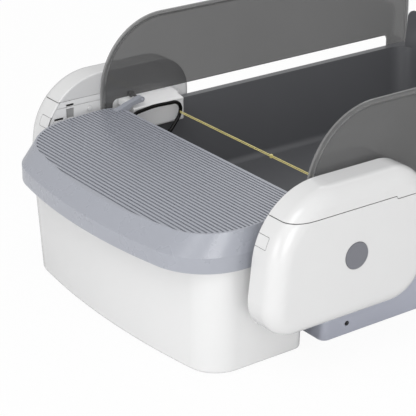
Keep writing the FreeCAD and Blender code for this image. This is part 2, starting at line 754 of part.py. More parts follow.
def bin_form(inset, low, high):
    """The bin's flared body between two heights, drawn in by an inset."""
    def ring(height):
        flare = v.bin_flare * (height - v.bin_lift) / (v.bin_top - v.bin_lift) - inset
        outline = bowed_path(bin_half + flare, v.bin_front - flare, v.bin_back - inset,
                             v.bin_bow - inset, v.bin_corner - inset, v.bin_back_corner - inset)
        return wire_at(outline, height)
    return Part.makeLoft([ring(low), ring(high)], True, True)


bin_foot_points = [Vector(x, y, 0) for x in (-115, 115) for y in (v.bin_front + 22, v.bin_back - 25)]
foot_stud = 2.5


def waste_bin():
    outer = bin_form(0, v.bin_lift, v.bin_top)
    outer = outer.makeFillet(v.bin_edge, edges_on(outer, "z", v.bin_lift))
    hollow = bin_form(v.wall, v.bin_lift + v.wall, v.bin_top + 1)
    low = edges_on(hollow, "z", v.bin_lift + v.wall)
    shell = outer.cut(hollow.makeFillet(v.bin_edge - v.wall, low))
    pass_half = chute_half + 8
    shell = shell.cut(block(-pass_half, pass_half, v.bin_back - 2 * v.wall, v.bin_back + 1,
                            v.bin_back_top, 2 * v.bin_top))
    studs = [rod(p, Z_AXIS, foot_stud + v.bore_play, 20) for p in bin_foot_points]
    return shell.cut(Part.makeCompound(studs))


keep(formed("WasteBin", waste_bin()), "waste_bin")


def bin_foot(point):
    pad = rod(point, Z_AXIS, 6, v.bin_lift - 0.05)
    return pad.fuse(rod(point, Z_AXIS, foot_stud, v.bin_lift + v.wall + 0.5))


keep(formed("BinFeet", Part.makeCompound([bin_foot(p) for p in bin_foot_points])), "bin_feet")


# Step lid

def lid_arch_z(y, drop=0):
    """Height of the arched lid top at a Y."""
    return v.lid_top - v.lid_arch - drop + math.sqrt(v.lid_arch ** 2 - (v.lid_back - y) ** 2)


def under_arch(drop):
    """Everything below the arched top, lowered by a drop."""
    front = v.lid_front - 20
    back = v.lid_back + 20
    middle = (front + back) / 2
    low = v.lid_bottom - 50
    arch = Part.Arc(flat(back, lid_arch_z(back, drop)), flat(middle, lid_arch_z(middle, drop)),
                    flat(front, lid_arch_z(front, drop)))
    sides = [
        Part.LineSegment(flat(front, lid_arch_z(front, drop)), flat(front, low)),
        Part.LineSegment(flat(front, low), flat(back, low)),
        Part.LineSegment(flat(back, low), flat(back, lid_arch_z(back, drop))),
    ]
    return across([arch] + sides, -2 * lid_half, 2 * lid_half)


def lid_form(inset, low):
    """The lid's band and bevelled upper part, drawn in by an inset."""
    def ring(height, rise):
        part = rise / v.bevel_rise
        half = lid_half - inset - v.bevel_in_side * part
        front = v.lid_front + inset + v.bevel_in_front * part
        outline = bowed_path(half, front, v.lid_back - inset, v.lid_bow - inset,
                             v.lid_corner - inset - v.bevel_corner * part,
                             v.lid_back_corner - inset)
        return wire_at(outline, height)
    band = Part.Face(ring(low, 0)).extrude(Vector(0, 0, v.lid_band - low))
    rise = v.lid_top + v.wall - v.lid_band
    top = Part.makeLoft([ring(v.lid_band, 0), ring(v.lid_band + rise, rise)], True, True)
    return band.fuse(top).common(under_arch(inset))


def tread_grooves():
    """Straight grooves across the lid top, kept inside the tread's outline."""
    side = lid_half - v.bevel_in_side - v.tread_inset
    front = v.lid_front + v.bevel_in_front * 0.9 + v.tread_inset
    back = v.lid_back - v.tread_inset
    outline = bowed_path(side, front, back, v.lid_bow, v.tread_corner,
                         v.lid_back_corner - v.tread_inset)
    over = v.lid_top + v.wall
    tread = Part.Face(wire_at(outline, v.lid_band)).extrude(Vector(0, 0, over - v.lid_band))
    tread = tread.cut(under_arch(v.groove_depth))
    count = int((back - front) / v.rib_pitch)
    bars = []
    for i in range(count):
        y = back - v.rib_pitch * (i + 0.5)
        bars.append(block(-side, side, y - v.groove_width / 2, y + v.groove_width / 2,
                          v.lid_band, over))
    return tread.common(Part.makeCompound(bars))


def lid_arm():
    """Arm from the lid's back edge up to the hinge eye."""
    eye_low = v.hinge_z - v.hinge_eye
    clear = v.neck_top + v.fit_gap
    points = [
        flat(v.lid_back - 15, v.lid_top - v.lid_wall),
        flat(v.lid_back - 5, v.lid_top - 2 * v.lid_wall),
        flat(v.lid_back + 1, v.lid_top - 2 * v.lid_wall),
        flat(v.arm_front - 2, clear),
        flat(v.hinge_y, eye_low),
        flat(v.hinge_y, v.hinge_z + v.hinge_eye),
        flat(v.hinge_y - 6, v.hinge_z + v.hinge_eye - 1.2),
        flat(v.lid_back - 3, v.lid_top + 4.0),
        flat(v.lid_back - 15, v.lid_top),
    ]
    sides = rounded_path(points, [0, 0, 2, 1, 0, 0, 6, 12, 0])
    end = hinge_arm_in + v.hinge_arm_width
    arm = across(sides, hinge_arm_in, end)
    centre = Vector(hinge_arm_in, v.hinge_y, v.hinge_z)
    arm = arm.fuse(rod(centre, X_AXIS, v.hinge_eye, v.hinge_arm_width))
    return arm.cut(rod(centre.sub(X_AXIS), X_AXIS, v.hinge_pin + v.bore_play, v.hinge_arm_width + 2))


def step_lid():
    lid = lid_form(0, v.lid_bottom).cut(lid_form(v.lid_wall, v.lid_bottom - 1))
    back_half = hinge_arm_in + v.hinge_arm_width / 2
    lid = lid.cut(block(-back_half, back_half, v.lid_back - 2 * v.lid_wall, v.lid_back + 1,
                        v.lid_bottom - 1, v.lid_top - 7))
    lid = lid.cut(tread_grooves())
    arm = lid_arm()
    return lid.fuse([arm, arm.mirror(Vector(), X_AXIS)])


keep(formed("StepLid", step_lid()), "step_lid")


# Side pods of the carriage

def pod_outline(inset):
    rise = v.pod_top - v.pod_bottom
    slope = (v.pod_front_high - v.pod_front_low) / rise
    shift = inset * math.sqrt(1 + slope ** 2)

    def front(height):
        return v.pod_front_low + slope * (height - v.pod_bottom) + shift
    low = v.pod_bottom + inset
    high = v.pod_top - inset
    back = v.pod_back - inset
    corners = [flat(front(low), low), flat(back, low), flat(back, high), flat(front(high), high)]
    radii = [v.pod_chin - inset, v.pod_heel - inset, v.pod_tail - inset, v.pod_nose - inset]
    return rounded_path(corners, radii)


def pod_form(inset, inner_face):
    """The pod's body drawn in by an inset, from an inner face to the rounded outer one."""
    outer_face = pod_outer - inset
    form = across(pod_outline(inset), inner_face, outer_face)
    return form.makeFillet(pod_edge - inset, edges_on(form, "x", outer_face))


def over_seam(offset):
    """Everything above the stepped seam, moved up by an offset."""
    far = 400
    step_shift = 0.05 if offset > 0 else -0.05
    points = [
        flat(-far, v.seam_high + offset),
        flat(v.seam_step + step_shift, v.seam_high + offset),
        flat(v.seam_step + step_shift, v.seam_low + offset),
        flat(far, v.seam_low + offset),
        flat(far, far),
        flat(-far, far),
    ]
    return across(rounded_path(points, [0, 2.5, 1.5, 0, 0, 0]), 0, far)


pod_solid = pod_form(0, pod_inner)
pod_solid = pod_solid.makeFillet(v.pod_inner_edge, edges_on(pod_solid, "x", pod_inner))
plate_face = pod_inner + v.fit_gap
plate_back = plate_face + v.pod_wall
motor_y = v.axle_y + (v.wheel_teeth + v.pinion_teeth) * v.train_module / 2
wheel_x = plate_back + 4
motor_x = wheel_x + v.train_width + 3
post_places = [(-250, 95), (-80, 80), (-60, 182), (-204, 188)]
post_radius = 4.0
roller_z = rail_bottom - v.roller_radius - v.fit_gap
roller_places = [(v.roller_front_y, roller_z), (v.roller_back_y, roller_z)]
socket_x = pod_inner + 16
socket_z = v.pod_bottom + 61.4
socket_radius = 5.0


def button_block(grow, depth):
    """The button's outline, grown by a margin, run back from the pod's front."""
    x0 = button_x - grow
    x1 = button_x + v.button_width + grow
    z0 = v.button_z - grow
    z1 = v.button_z + v.button_height + grow
    edges = rectangle(x0, x1, z0, z1, 1.2 + grow)
    return along(edges, v.pod_front_low - 10, v.pod_front_high + depth)


def pod_shell():
    shell = pod_solid.cut(pod_form(v.pod_wall, pod_inner - 1))
    shell = shell.cut(over_seam(-v.seam_gap / 2))
    inside = pod_form(v.pod_wall / 2, pod_inner)
    extras = [rod(Vector(plate_back + v.fit_gap, y, z), X_AXIS, post_radius, v.pod_width)
              for y, z in post_places]
    extras.append(rod(Vector(pod_outer - 14, v.axle_y, v.axle_z), X_AXIS, 6, 20))
    extras.append(rod(Vector(pod_outer - 16, motor_y, v.axle_z), X_AXIS, v.motor_radius + 3, 20))
    extras = Part.makeCompound(extras).common(inside)
    shell = shell.fuse(extras).cut(over_seam(-v.seam_gap / 2))
    motor_end = motor_x + v.motor_length + v.fit_gap
    cap_floor = pod_outer + v.cap_proud - v.cap_thick - 0.1
    tools = [
        rod(Vector(0, v.axle_y, v.axle_z), X_AXIS, v.shaft_radius + v.bore_play, pod_outer - 5),
        rod(Vector(0, motor_y, v.axle_z), X_AXIS, v.motor_radius + v.bore_play, motor_end),
        rod(Vector(cap_floor, v.axle_y, v.axle_z), X_AXIS, v.cap_radius + v.fit_gap, 10),
        rod(Vector(socket_x, v.pod_back - 10, socket_z), Y_AXIS, socket_radius + v.bore_play, 20),
        button_block(v.button_gap, 10),
    ]
    for y, z in post_places:
        tools.append(rod(Vector(pod_inner, y, z), X_AXIS, v.screw_radius + v.bore_play, 14))
    return shell.cut(Part.makeCompound(tools))


def pod_cover():
    return pod_solid.cut(pod_form(v.pod_wall, pod_inner + v.pod_wall)).common(
        over_seam(v.seam_gap / 2))


def pod_backplate():
    """The flat inner wall of a pod, with its bearing, screw, pin and neck openings."""
    outline = pod_outline(v.pod_wall + v.fit_gap)
    slab = across(outline, plate_face, plate_back).cut(over_seam(0))
    tools = [rod(Vector(0, v.axle_y, v.axle_z), X_AXIS, v.shaft_radius + v.bore_play, 400)]
    for y, z in post_places:
        tools.append(rod(Vector(0, y, z), X_AXIS, v.screw_radius + v.bore_play, 400))
    for y, z in roller_places:
        tools.append(rod(Vector(0, y, z), X_AXIS, v.roller_pin + v.bore_play, 400))
    tools.append(block(0, 400, tongue_front - v.fit_gap, tongue_back + v.fit_gap,
                       tongue_low - v.fit_gap, tongue_high + v.fit_gap))
    recess_back = v.arm_front - 70.0
    recess_front = recess_back - 11.5
    recess_low = v.seam_high - 24
    line = v.seam_high - 8.4
    tools.append(block(0, plate_face + 1.6, recess_front, recess_back, recess_low, line - 2.6))
    tools.append(block(0, 400, recess_front, recess_front + 1.6, recess_low, line - 2.6))
    tools.append(block(0, 400, recess_front, recess_back, line + 0.6, line + 3.6))
    tools.append(block(0, 400, recess_front - 19, recess_front - 5, recess_low - 0.6, recess_low + 2.4))
    tools.append(block(0, plate_face + 0.5, v.pod_front_low, v.pod_back, line - 0.5, line + 0.3))
    return slab.cut(Part.makeCompound(tools))


tongue_front = v.arm_front + 8
tongue_back = v.neck_back - 8
tongue_low = v.neck_bottom + 1.5
tongue_high = v.neck_top - 1.5


def pair(name, shape, label):
    """A piece on the right and its mirror image on the left."""
    right = formed(name, shape)
    keep(right, label + "_right")
    keep(mirrored(name + "Left", right), label + "_left")
    return right


pair("PodShell", pod_shell(), "pod_shell")
pair("PodCover", pod_cover(), "pod_cover")
pair("PodBackplate", pod_backplate(), "pod_backplate")
cap = cylinder("AxleCap", "base_half + pod_gap + pod_width + cap_proud - cap_thick", "axle_y",
               "axle_z", "cap_radius", "cap_thick", "X")
keep(cap, "axle_cap_right")
keep(mirrored("AxleCapLeft", cap), "axle_cap_left")
pod_screws = [screw(Vector(plate_face, y, z), X_AXIS) for y, z in post_places]
pod_screws += [s.mirror(Vector(), X_AXIS) for s in pod_screws]
keep(formed("PodScrews", Part.makeCompound(pod_screws)), "pod_screws")


button_lip = v.pod_wall + v.fit_gap - v.button_travel - 0.2


def button():
    """A press button whose face follows the pod's front, with a flange behind the wall."""
    behind_plate = plate_back + v.fit_gap
    deep = 3 * v.pod_wall
    core = pod_form(deep, pod_inner - 1)
    lip = pod_solid.common(button_block(0, 10)).cut(pod_form(button_lip, pod_inner - 1))
    stem = pod_form(button_lip / 2, behind_plate).cut(core).common(button_block(0, 10))
    flange = pod_form(v.pod_wall + v.fit_gap, behind_plate).cut(core)
    return lip.fuse([stem, flange.common(button_block(1.2, 10))])


pair("Button", button(), "button")


# Carriage arms that pass the shield slots

def arm_section(inset):
    """Front view of the arm: inner housing, then the neck out to the pod."""
    points = [
        flat(arm_inner + inset, v.arm_bottom + inset),
        flat(arm_outer_low - inset, v.arm_bottom + inset),
        flat(arm_outer_high - inset, v.neck_bottom + inset),
        flat(pod_inner, v.neck_bottom + inset),
        flat(pod_inner, v.neck_top - inset),
        flat(arm_outer_high + 13, v.neck_top - inset),
        flat(arm_inner + inset, v.arm_inner_top - inset),
    ]
    return rounded_path(points, [1.4, 1.4, 1.4, 0, 0, 8, 1.4])


bearing_outer = arm_outer_low
panel_back = arm_inner + v.arm_wall


def panel_web(grow, inner_face):
    """The strip that joins the panel's round part to its upper part."""
    half = v.rake_boss / 2 + grow
    return block(inner_face, panel_back, v.rake_y - half, v.rake_y + half, v.rake_z,
                 v.arm_bottom + 2 * v.arm_wall + 1)


def carriage_arm():
    """Hollow arm, open to the inside, with the rake bearing and a tongue into the pod."""
    arm = along(arm_section(0), v.arm_front, v.neck_back)
    low = v.arm_bottom - 1
    arm = arm.cut(block(0, arm_outer_high, v.arm_back, v.neck_back + 1, low, 2 * v.neck_top))
    arm = arm.makeFillet(2.4, [e for e in edges_on(arm, "y", v.arm_back)
                               if e.BoundBox.XMax < arm_outer_high - 1])
    boss = rod(Vector(arm_inner, v.rake_y, v.rake_z), X_AXIS, v.rake_boss,
               bearing_outer - arm_inner)
    half = 0.85 * v.rake_boss
    web = block(arm_inner, bearing_outer, v.rake_y - half, v.rake_y + half,
                v.rake_z + 2, v.arm_bottom + 4)
    arm = arm.fuse([boss, web])
    room = along(arm_section(v.arm_wall), v.arm_front + v.arm_wall, v.arm_back - v.arm_wall)
    room = room.common(block(0, arm_outer_high, -400, 400, 0, 400))
    room = room.fuse(rod(Vector(panel_back, v.rake_y, v.rake_z), X_AXIS,
                         v.rake_boss - v.arm_wall, bearing_outer - v.arm_wall - panel_back))
    gate = block(arm_inner - 1, panel_back, v.arm_front + v.arm_wall, v.arm_back - v.arm_wall,
                 v.arm_bottom + v.arm_wall, v.arm_inner_top - 2 * v.arm_wall)
    gate = gate.fuse(rod(Vector(arm_inner - 1, v.rake_y, v.rake_z), X_AXIS,
                         v.rake_boss - v.arm_wall, v.arm_wall + 1))
    gate = gate.fuse(panel_web(v.fit_gap, arm_inner - 1))
    tongue = block(pod_inner - 4, plate_back + 8, tongue_front, tongue_back, tongue_low,
                   tongue_high)
    bearing = rod(Vector(bearing_outer - 4, v.rake_y, v.rake_z), X_AXIS,
                  v.shaft_radius + 1.5, 4)
    arm = arm.cut(room.fuse(gate)).fuse([tongue, bearing])
    bore = rod(Vector(0, v.rake_y, v.rake_z), X_AXIS, v.shaft_radius + v.bore_play, 400)
    return arm.cut(bore)


def arm_panel():
    """The flat inner panel that closes the arm's housing."""
    gap = v.arm_wall + v.fit_gap
    slab = block(arm_inner, panel_back - 0.1, v.arm_front + gap, v.arm_back - gap,
                 v.arm_bottom + gap, v.arm_inner_top - v.arm_wall - gap)
    slab = slab.fuse(rod(Vector(arm_inner, v.rake_y, v.rake_z), X_AXIS, v.rake_boss - gap,
                         v.arm_wall - 0.1))
    web = panel_web(0, arm_inner).common(block(0, panel_back - 0.1, -400, 400, 0, 400))
    slab = slab.fuse(web)
    return slab.cut(rod(Vector(0, v.rake_y, v.rake_z), X_AXIS, v.shaft_radius + v.bore_play, 400))


pair("CarriageArm", carriage_arm(), "carriage_arm")
pair("ArmPanel", arm_panel(), "arm_panel")


# Drive train in the pods

def drive_gear():
    """Rack pinion, shaft and large reduction gear in one."""
    turn = gear(int(v.drive_teeth), v.rack_module, v.axle_y, v.axle_z,
                v.base_half + 4.8, v.drive_width, 1, -math.pi / 2)
    wheel = gear(int(v.wheel_teeth), v.train_module, v.axle_y, v.axle_z, wheel_x, v.train_width, 1, 0)
    shaft = rod(Vector(v.base_half + 4.8, v.axle_y, v.axle_z), X_AXIS, v.shaft_radius,
                pod_outer - 6 - v.base_half - 4.8)
    return turn.fuse([wheel, shaft])


def motor_pinion():
    pinion = gear(int(v.pinion_teeth), v.train_module, motor_y, v.axle_z, wheel_x, v.train_width, 1,
                  math.pi + math.pi / v.pinion_teeth)
    return pinion.fuse(rod(Vector(wheel_x, motor_y, v.axle_z), X_AXIS, 2, 18))


pair("DriveGear", drive_gear(), "drive_gear")
pair("MotorPinion", motor_pinion(), "motor_pinion")


def drive_motor():
    can = rod(Vector(motor_x, motor_y, v.axle_z), X_AXIS, v.motor_radius, v.motor_length)
    can = can.makeFillet(1.2, edges_on(can, "x", motor_x))
    return can.cut(rod(Vector(0, motor_y, v.axle_z), X_AXIS, 2 + v.bore_play, wheel_x + 19))


pair("DriveMotor", drive_motor(), "drive_motor")
roller_x = plate_face - v.roller_width - 4


def roller(y):
    wheel = rod(Vector(roller_x, y, roller_z), X_AXIS, v.roller_radius, v.roller_width)
    wheel = wheel.makeChamfer(0.8, edges_on(wheel, "x", roller_x))
    return wheel.cut(rod(Vector(0, y, roller_z), X_AXIS, v.roller_pin + v.bore_play, 400))


def roller_pin(y):
    head = rod(Vector(roller_x - 1.8, y, roller_z), X_AXIS, v.roller_pin + 1.6, 1.5)
    return head.fuse(rod(Vector(roller_x - 1, y, roller_z), X_AXIS, v.roller_pin,
                         plate_back - roller_x + 1))


pair("RollerFront", roller(v.roller_front_y), "roller_front")
pair("RollerBack", roller(v.roller_back_y), "roller_back")
pins = [roller_pin(v.roller_front_y), roller_pin(v.roller_back_y)]
pins += [p.mirror(Vector(), X_AXIS) for p in pins]
keep(formed("RollerPins", Part.makeCompound(pins)), "roller_pins")


# Power and control

battery = box("Battery", "9 - base_half - pod_gap - pod_width", "pod_back - 61", "pod_bottom + 36",
              "pod_width - 9 - pod_wall - 2 * fit_gap", "50", "68")
keep(battery, "battery_pack")


def control_board():
    low = v.pod_bottom + 36.4
    board = block(plate_back + 6, plate_back + 7.6, v.pod_back - 58, v.pod_back - 12, low, low + 66)
    chips = [
        block(plate_back + 7.6, plate_back + 10, v.pod_back - 48, v.pod_back - 36, low + 40, low + 52),
        block(plate_back + 7.6, plate_back + 16, v.pod_back - 28, v.pod_back - 20, low + 45, low + 60),
        block(plate_back + 7.6, plate_back + 14, v.pod_back - 54, v.pod_back - 42, low + 6, low + 14),
    ]
    spacers = [rod(Vector(plate_back + 0.05, v.pod_back - y, low + z), X_AXIS, 2.5, 6.5)
               for y in (16, 54) for z in (20, 62)]
    return board.fuse(chips + spacers)


keep(formed("ControlBoard", control_board()), "control_board")


def dc_socket():
    centre = Vector(socket_x, v.pod_back, socket_z)
    body = rod(centre.sub(Y_AXIS * 9), Y_AXIS, socket_radius, 9)
    rim = rod(centre.add(Y_AXIS * 0.05), Y_AXIS, socket_radius + 1.4, 0.8)
    socket = body.fuse([rim, rod(centre.sub(Y_AXIS), Y_AXIS, socket_radius, 1.2)])
    return socket.cut(rod(centre.sub(Y_AXIS * 7), Y_AXIS, 2.9, 20)).fuse(
        rod(centre.sub(Y_AXIS * 8), Y_AXIS, 0.9, 6))


keep(formed("DcSocket", dc_socket()), "dc_socket")


# Rake

def rake_hoop_wire():
    """Centre line of the black hoop beside the rake, seen from the side."""
    points = [
        flat(v.rake_y - 20, v.rake_z + 6),
        flat(v.rake_y - 31, v.rake_z + 34),
        flat(v.rake_y + 6, v.rake_z + 38.6),
        flat(v.rake_y + 49, v.rake_z + 37),
        flat(v.rake_y + 49.5, v.rake_z + 19),
        flat(v.rake_y + 32, v.rake_z - 3),
        flat(v.rake_y + 4, v.rake_z - 10),
    ]
    edges = open_path(points, [8, 90, 12, 25, 12])
    wire = Part.Wire([edge.toShape() for edge in edges])
    wire.Placement = Placement(Vector(hoop_x, 0, 0), Rotation(Y_AXIS, Z_AXIS, X_AXIS))
    return wire


hoop_x = rake_half - v.hoop_radius


def hoop_rod(radius):
    spine = rake_hoop_wire()
    start = spine.Edges[0]
    point = start.valueAt(start.FirstParameter)
    ring = Part.Wire([Part.Circle(point, start.tangentAt(start.FirstParameter), radius).toShape()])
    return spine.makePipeShell([ring], True, True)


def wire_rod(side, radius, half):
    z = v.wire_z + side * v.wire_spread / 2
    return rod(Vector(-half, v.wire_y, z), X_AXIS, radius, 2 * half)


hoop = hoop_rod(v.hoop_radius)
holes = [wire_rod(side, v.wire_radius + v.bore_play, hoop_x) for side in (-1, 1)]
hoop = hoop.cut(Part.makeCompound(holes))
pair("RakeHoop", hoop, "rake_hoop")
wires = [wire_rod(side, v.wire_radius, hoop_x - 0.2) for side in (-1, 1)]
keep(formed("RakeWires", Part.makeCompound(wires)), "rake_wires")
clip_high = v.wire_spread / 2 + 2 * v.wire_radius
clip = block(v.clip_x - v.clip_width / 2, v.clip_x + v.clip_width / 2, v.wire_y - 1.6,
             v.wire_y + 1.6, v.wire_z - clip_high, v.wire_z + clip_high)
keep(formed("WireClip", clip.cut(Part.makeCompound(holes))), "wire_clip")


def end_plate():
    """Plate at the rake's end that carries the bar, the comb and the hoop."""
    points = [
        flat(v.rake_y - 26, v.rake_z + 12),
        flat(v.rake_y - 12, v.rake_z - 20),
        flat(v.rake_y + 12, v.rake_z - 20),
        flat(v.rake_y + 14, v.rake_z + 8),
    ]
    return across(rounded_path(points, [4, 6, 6, 6]), rake_half - 6, rake_half + 0.8)


def rake_bar():
    bar = rod(Vector(-rake_half, v.rake_y, v.rake_z), X_AXIS, v.rake_bar_radius, 2 * rake_half)
    plate_right = end_plate().cut(hoop_rod(v.hoop_radius + v.bore_play))
    shaft_end = bearing_outer + 1
    shaft = rod(Vector(-shaft_end, v.rake_y, v.rake_z), X_AXIS, v.shaft_radius, 2 * shaft_end)
    return bar.fuse([plate_right, plate_right.mirror(Vector(), X_AXIS), shaft])


keep(formed("RakeBar", rake_bar()), "rake_bar")


def rake_comb():
    """Comb spine under the bar with tapering tines down to the tray floor."""
    top = v.rake_z - v.rake_bar_radius - v.comb_top_gap
    low = top - v.comb_height
    half = rake_half - 6 - v.fit_gap
    depth = v.comb_depth / 2
    middle = v.rake_y - v.comb_offset
    spine = block(-half, half, middle - depth, middle + depth, low, top)
    tip = v.rake_z - math.sqrt(rake_reach ** 2 - (v.comb_offset + 2.2) ** 2)
    points = [
        flat(middle - 2.2, tip),
        flat(middle + 1.2, tip),
        flat(middle + depth - 0.5, low + 1),
        flat(middle - depth + 0.5, low + 1),
    ]
    pitch = 2 * (half - v.tine_margin) / (v.tine_count - 1)
    tines = []
    for i in range(int(v.tine_count)):
        x = (i - (v.tine_count - 1) / 2) * pitch
        side = rounded_path(points, [1.2, 0.8, 0, 0])
        tines.append(across(side, x - v.tine_thick / 2, x + v.tine_thick / 2))
    return spine.fuse(tines)


keep(formed("RakeComb", rake_comb()), "rake_comb")


# Checks and files

doc.recompute()
for item in doc.Objects:
    if "Invalid" in item.State or "Error" in item.State:
        raise SystemExit("object failed: " + item.Name)
os.makedirs("parts", exist_ok=True)
for label, item in pieces.items():
    shape = item.Shape
    if shape.isNull() or not shape.isValid():
        raise SystemExit("bad shape: " + label)
    shape.exportStep("parts/" + label + ".step")
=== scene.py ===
"""Looks of the self-cleaning litter box: materials, camera, light and a plain floor."""

import bpy
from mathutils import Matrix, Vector

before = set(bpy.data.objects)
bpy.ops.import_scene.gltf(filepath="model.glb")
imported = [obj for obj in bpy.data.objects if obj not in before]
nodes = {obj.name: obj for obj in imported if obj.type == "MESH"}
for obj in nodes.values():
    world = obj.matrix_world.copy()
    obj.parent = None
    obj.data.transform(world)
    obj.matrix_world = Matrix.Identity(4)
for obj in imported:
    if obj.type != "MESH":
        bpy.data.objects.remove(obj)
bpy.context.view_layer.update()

WHITE = (1, 1, 1, 1)


# Small node helpers


def srgb(*values):
    """Linear colour from 8-bit display values."""
    out = []
    for value in values:
        c = value / 255
        out.append(c / 12.92 if c <= 0.04045 else ((c + 0.055) / 1.055) ** 2.4)
    return tuple(out) + (1,)


def add(tree, kind, **inputs):
    """A node with values for its sockets; an underscore in a name stands for a space."""
    node = tree.nodes.new(kind)
    for name, value in inputs.items():
        node.inputs[name.replace("_", " ")].default_value = value
    return node


def feed(tree, socket, value):
    """Give a socket a value, or link it to another socket."""
    if isinstance(value, bpy.types.NodeSocket):
        tree.links.new(value, socket)
    else:
        socket.default_value = value


def own_place(tree):
    """The X, Y and Z sockets of a point in its object's own frame."""
    place = tree.nodes.new("ShaderNodeTexCoord")
    split = tree.nodes.new("ShaderNodeSeparateXYZ")
    tree.links.new(place.outputs["Object"], split.inputs[0])
    return split.outputs


def grain(tree, scale):
    """Noise over an object; a higher scale is finer."""
    place = tree.nodes.new("ShaderNodeTexCoord")
    noise = add(tree, "ShaderNodeTexNoise", Scale=scale, Detail=3.0)
    tree.links.new(place.outputs["Object"], noise.inputs["Vector"])
    return noise.outputs["Fac"]


def spread(tree, noise, low, high):
    """Map the middle part of a noise to a range."""
    node = add(tree, "ShaderNodeMapRange", From_Min=0.3, From_Max=0.7, To_Min=low, To_Max=high)
    tree.links.new(noise, node.inputs["Value"])
    return node.outputs["Result"]


def mixed(tree, share, one, two, blend="MIX"):
    """Blend two colours by a share; each of the three is a value or a socket."""
    node = tree.nodes.new("ShaderNodeMix")
    node.data_type = "RGBA"
    node.blend_type = blend
    for slot, value in ((0, share), (6, one), (7, two)):
        feed(tree, node.inputs[slot], value)
    return node.outputs[2]


def layered(tree, share, one, two):
    """Blend two shaders by a share, a value or a socket."""
    node = tree.nodes.new("ShaderNodeMixShader")
    feed(tree, node.inputs[0], share)
    tree.links.new(one.outputs[0], node.inputs[1])
    tree.links.new(two.outputs[0], node.inputs[2])
    return node


def arithmetic(tree, operation, first, second=0.0):
    """The result of an operation on one or two sockets or numbers."""
    node = tree.nodes.new("ShaderNodeMath")
    node.operation = operation
    feed(tree, node.inputs[0], first)
    feed(tree, node.inputs[1], second)
    return node.outputs[0]


def ramp(tree, source, stops):
    """Grey values along a socket, from pairs of place and grey."""
    node = tree.nodes.new("ShaderNodeValToRGB")
    cells = node.color_ramp.elements
    while len(cells) < len(stops):
        cells.new(0.5)
    for cell, (place, grey) in zip(cells, stops):
        cell.position = place
        cell.color = (grey, grey, grey, 1)
    tree.links.new(source, node.inputs[0])
    return node.outputs["Color"]


def blank(name):
    """A new material with nodes, and its node tree."""
    item = bpy.data.materials.new(name)
    item.use_nodes = True
    return item, item.node_tree


# Opaque materials

DRIFT_SCALE = 9.0
ROUGHNESS_SCALE = 40.0
ROUGHNESS_SPREAD = 0.07
RELIEF_HEIGHT = 0.0004
# Painted edge shade: faces turning away from the viewer are blended towards this grey, more
# sharply with a higher power.
EDGE_SHADE_POWER = 5.0
EDGE_SHADE_COLOUR = srgb(120, 122, 126)


def plastic(name, colour, rough=0.35, vary=0.04, texture=900.0, bump=0.02, edge=0.0009,
            metal=0.0, coat=0.0, specular=0.5, groove_shade_reach=0.0, groove_shade_share=1.0, edge_shade=0.0):
    """Moulded or drawn material: soft colour drift, fine texture and rounded edges.

    A reach above zero for groove shade paints shade into narrow grooves and seams, by the
    given share, and an edge shade above zero paints shade onto what turns away from the viewer.
    """
    item, tree = blank(name)
    shader = tree.nodes["Principled BSDF"]
    shader.inputs["Metallic"].default_value = metal
    shader.inputs["Coat Weight"].default_value = coat
    shader.inputs["Specular IOR Level"].default_value = specular
    darker = tuple(c * (1 - vary) for c in colour[:3]) + (1,)
    lighter = tuple(min(1, c * (1 + vary)) for c in colour[:3]) + (1,)
    drift = mixed(tree, grain(tree, DRIFT_SCALE), darker, lighter)
    # Painted shade: what turns away from the viewer is blended towards a grey.
    if edge_shade:
        turn = add(tree, "ShaderNodeLayerWeight", Blend=0.5)
        away = arithmetic(tree, "POWER", turn.outputs["Facing"], EDGE_SHADE_POWER)
        drift = mixed(tree, arithmetic(tree, "MULTIPLY", away, edge_shade), drift, EDGE_SHADE_COLOUR)
    # Painted shade: ambient occlusion darkens the colour in grooves and seams.
    if groove_shade_reach:
        shade = add(tree, "ShaderNodeAmbientOcclusion", Distance=groove_shade_reach)
        tree.links.new(drift, shade.inputs["Color"])
        drift = mixed(tree, groove_shade_share, drift, shade.outputs["Color"])
    tree.links.new(drift, shader.inputs["Base Color"])
    dull = spread(tree, grain(tree, ROUGHNESS_SCALE), rough * (1 - ROUGHNESS_SPREAD),
                  rough * (1 + ROUGHNESS_SPREAD))
    tree.links.new(dull, shader.inputs["Roughness"])
    round_edge = add(tree, "ShaderNodeBevel", Radius=edge)
    relief = add(tree, "ShaderNodeBump", Strength=bump, Distance=RELIEF_HEIGHT)
    tree.links.new(grain(tree, texture), relief.inputs["Height"])
    tree.links.new(round_edge.outputs["Normal"], relief.inputs["Normal"])
    tree.links.new(relief.outputs["Normal"], shader.inputs["Normal"])
    return item


def beyond(item, limit, colour):
    """Give a material another colour past a distance to either side of the middle."""
    tree = item.node_tree
    across = arithmetic(tree, "ABSOLUTE", own_place(tree)["X"])
    outside = arithmetic(tree, "GREATER_THAN", across, limit)
    base = tree.nodes["Principled BSDF"].inputs["Base Color"]
    tree.links.new(mixed(tree, outside, base.links[0].from_socket, colour), base)
    return item


# Smoky side shields

shield_box = [Vector(corner) for corner in nodes["side_shield_left"].bound_box]
SHIELD_FRONT = min(corner.y for corner in shield_box)
SHIELD_BACK = max(corner.y for corner in shield_box)
SHIELD_TOP = max(corner.z for corner in shield_box)
SHIELD_ROUND = 0.099
SHIELD_BACK_ROUND = 0.040
RIM_HEIGHT = 0.0016
MILK_SHARE = 0.35
SHEET_ROUGHNESS = 0.12
SHEET_IOR = 1.38
LIGHT_PASSING = (0.85, 0.85, 0.86, 1)

